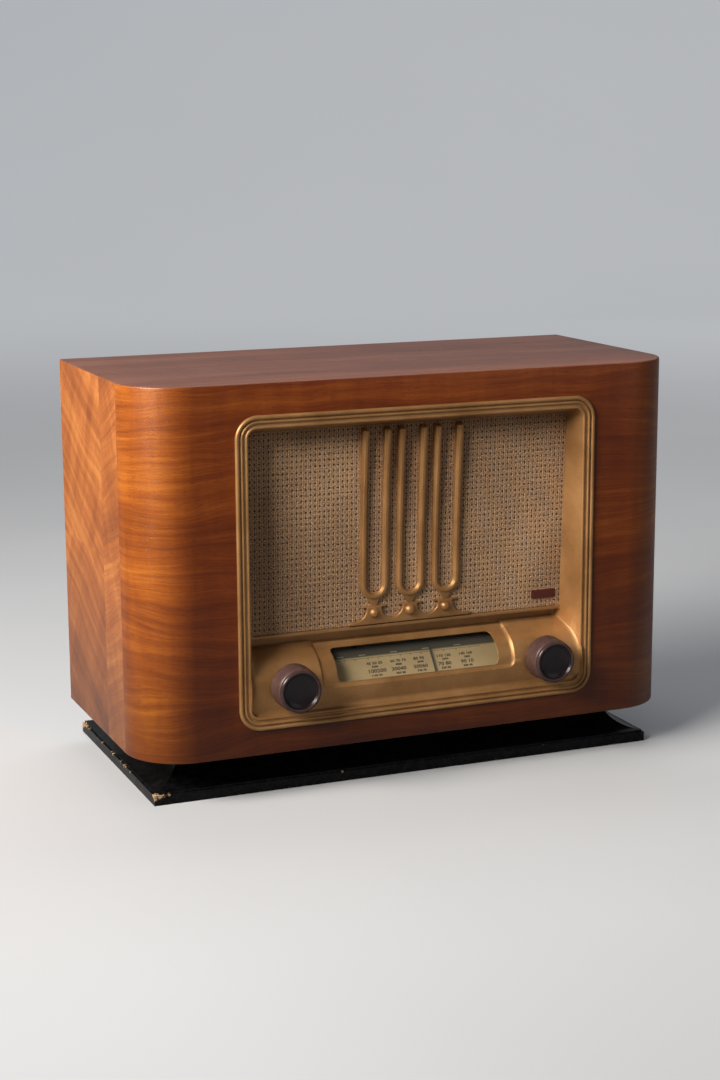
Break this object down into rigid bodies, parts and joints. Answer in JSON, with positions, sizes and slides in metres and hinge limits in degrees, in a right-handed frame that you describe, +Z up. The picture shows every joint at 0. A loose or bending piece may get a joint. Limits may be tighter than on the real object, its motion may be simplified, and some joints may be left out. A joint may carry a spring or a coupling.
{
  "type": "table radio receiver",
  "caption": "Table radio receiver: veneered cabinet with rounded front corners on a black plinth, moulded front with hooped grille, dial and knobs.",
  "frame": {"origin": "in the plane of the underside of the plinth, below the middle of the cabinet", "axes": "+X to the right seen from the front, +Y to the back, +Z up"},
  "size_m": [0.46, 0.2564, 0.3255],
  "materials": {
    "walnut_veneer": "satin lacquer",
    "plywood": "bare",
    "black_lacquer": "gloss lacquer",
    "bronze_moulding": "satin bronze paint on moulded resin",
    "grille_fabric": "open basket weave",
    "badge_enamel": "dark red, bare",
    "clear_glass": "clear",
    "valve_glass": "clear",
    "dial_paint": "printed scale",
    "pointer_paint": "matt black",
    "bright_steel": "plain",
    "plated_steel": "cadmium-grey plate",
    "brass": "plain",
    "bakelite": "dark brown, polished",
    "drive_cord": "waxed cord",
    "pulley_resin": "ivory",
    "aluminium": "plain",
    "black_enamel": "black enamel",
    "electrode_metal": "blackened nickel",
    "varnished_paper": "varnished winding",
    "cone_paper": "pressed felted paper",
    "magnet_iron": "ground",
    "rubber": "plain",
    "fibreboard": "pressed fibreboard"
  },
  "bodies": {
    "receiver": {"cabinet_wrap": "walnut_veneer", "cabinet_top": "walnut_veneer", "cabinet_floor": "plywood", "corner_blocks": "plywood", "back_rails": "plywood", "baffle_board": "plywood", "baffle_wedges": "plywood", "plinth_plate": "black_lacquer", "plinth_cove": "black_lacquer", "front_moulding": "bronze_moulding", "grille_hoops": "bronze_moulding", "grille_cloth": "grille_fabric", "badge_plate": "badge_enamel", "dial_glass": "clear_glass", "dial_lamps": "clear_glass", "converter_valve": "valve_glass", "detector_valve": "valve_glass", "output_valve": "valve_glass", "rectifier_valve": "valve_glass", "dial_scale": "dial_paint", "pointer_rail": "bright_steel", "chassis_bolts": "bright_steel", "speaker_screws": "bright_steel", "back_screws": "bright_steel", "dial_bracket": "plated_steel", "chassis": "plated_steel", "chassis_walls": "plated_steel", "chassis_ends": "plated_steel", "capacitor_frame": "plated_steel", "lamp_holders": "brass", "spindle_bush": "brass", "valve_bases": "bakelite", "socket_strip": "bakelite", "drive_cord": "drive_cord", "capacitor_stator": "aluminium", "screening_cans": "aluminium", "smoothing_capacitor": "aluminium", "volume_control": "black_enamel", "output_transformer": "black_enamel", "transformer_core": "black_enamel", "speaker_basket": "black_enamel", "valve_electrodes": "electrode_metal", "transformer_coil": "varnished_paper", "speaker_cone": "cone_paper", "speaker_magnet": "magnet_iron", "mains_grommet": "rubber", "back_cover": "fibreboard"},
    "tuning_control": {"tuning_knob": "bakelite", "tuning_spindle": "bright_steel"},
    "pointer": {"dial_pointer": "pointer_paint"},
    "left_idler": {"left_pulley": "pulley_resin"},
    "right_idler": {"right_pulley": "pulley_resin"},
    "capacitor_drive": {"drive_drum": "pulley_resin", "capacitor_rotor": "aluminium"},
    "volume_spindle": {"volume_knob": "bakelite", "volume_shaft": "bright_steel"}
  },
  "joints": [
    {"name": "tuning_turn", "type": "hinge", "parent": "receiver", "child": "tuning_control", "pos_m": [0.109, -0.064, 0.09], "axis": [0, 1, 0], "range_deg": [-1178.86, 654.6]},
    {"name": "pointer_slide", "type": "slide", "parent": "receiver", "child": "pointer", "axis": [1, 0, 0], "range_m": [-0.0825, 0.0459]},
    {"name": "left_idler_turn", "type": "hinge", "parent": "receiver", "child": "left_idler", "pos_m": [-0.092, -0.064, 0.10654], "axis": [0, 1, 0], "range_deg": [-590.43, 328.3]},
    {"name": "right_idler_turn", "type": "hinge", "parent": "receiver", "child": "right_idler", "pos_m": [0.195, -0.064, 0.10654], "axis": [0, 1, 0], "range_deg": [-590.43, 328.3]},
    {"name": "capacitor_turn", "type": "hinge", "parent": "receiver", "child": "capacitor_drive", "pos_m": [0.14, -0.064, 0.15528], "axis": [0, 1, 0], "range_deg": [-64.47, 115.93]},
    {"name": "volume_turn", "type": "hinge", "parent": "receiver", "child": "volume_spindle", "pos_m": [-0.109, -0.064, 0.09], "axis": [0, 1, 0], "range_deg": [-150, 150]}
  ],
  "couplings": [
    {"joint": "pointer_slide", "follows": "tuning_turn", "m_per_rad": 0.004},
    {"joint": "left_idler_turn", "follows": "tuning_turn", "ratio": 0.5},
    {"joint": "right_idler_turn", "follows": "tuning_turn", "ratio": 0.5},
    {"joint": "capacitor_turn", "follows": "tuning_turn", "ratio": -0.098175}
  ]
}
